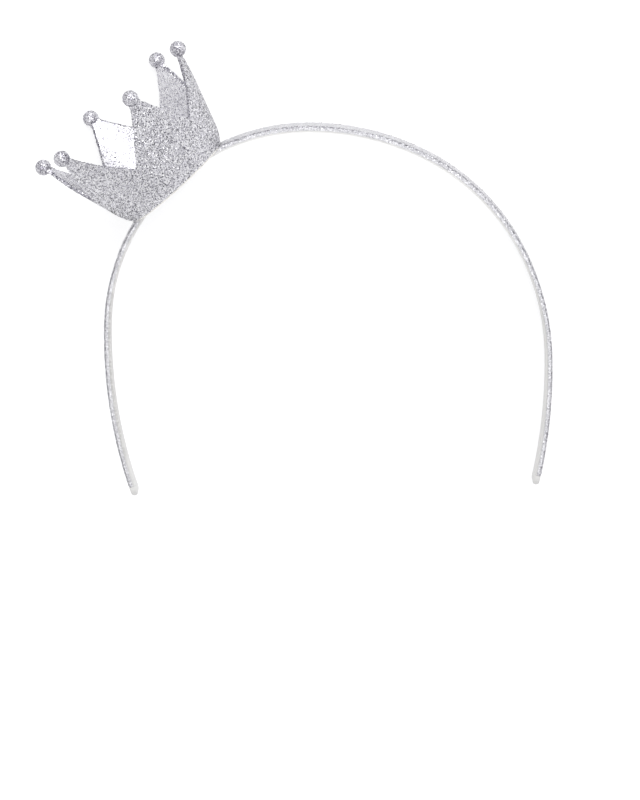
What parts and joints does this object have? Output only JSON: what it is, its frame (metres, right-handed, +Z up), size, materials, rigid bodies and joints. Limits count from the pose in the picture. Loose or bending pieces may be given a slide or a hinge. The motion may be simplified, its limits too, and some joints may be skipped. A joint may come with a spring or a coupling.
{
  "type": "mini crown headband",
  "caption": "Slim arched headband with bare rounded tips and a glitter cover, and a small open pointed crown with ball tips standing left of the top.",
  "frame": {"origin": "centre of the bounding box in plan, on the surface that the part rests on", "axes": "+Z up, the arch lies near level with its front up; +Y runs from the tips to the top of the arch, +X to the wearer's left as seen from the front"},
  "size_m": [0.1856, 0.1665, 0.0643],
  "materials": {
    "band_core": "smooth satin, off-white",
    "glitter_cover": "silver glitter with a faint lavender tint",
    "crown": "coarse silver glitter with a faint lavender tint"
  },
  "bodies": {
    "root": {"band_core": "band_core", "glitter_cover": "glitter_cover", "crown": "crown"}
  },
  "joints": []
}
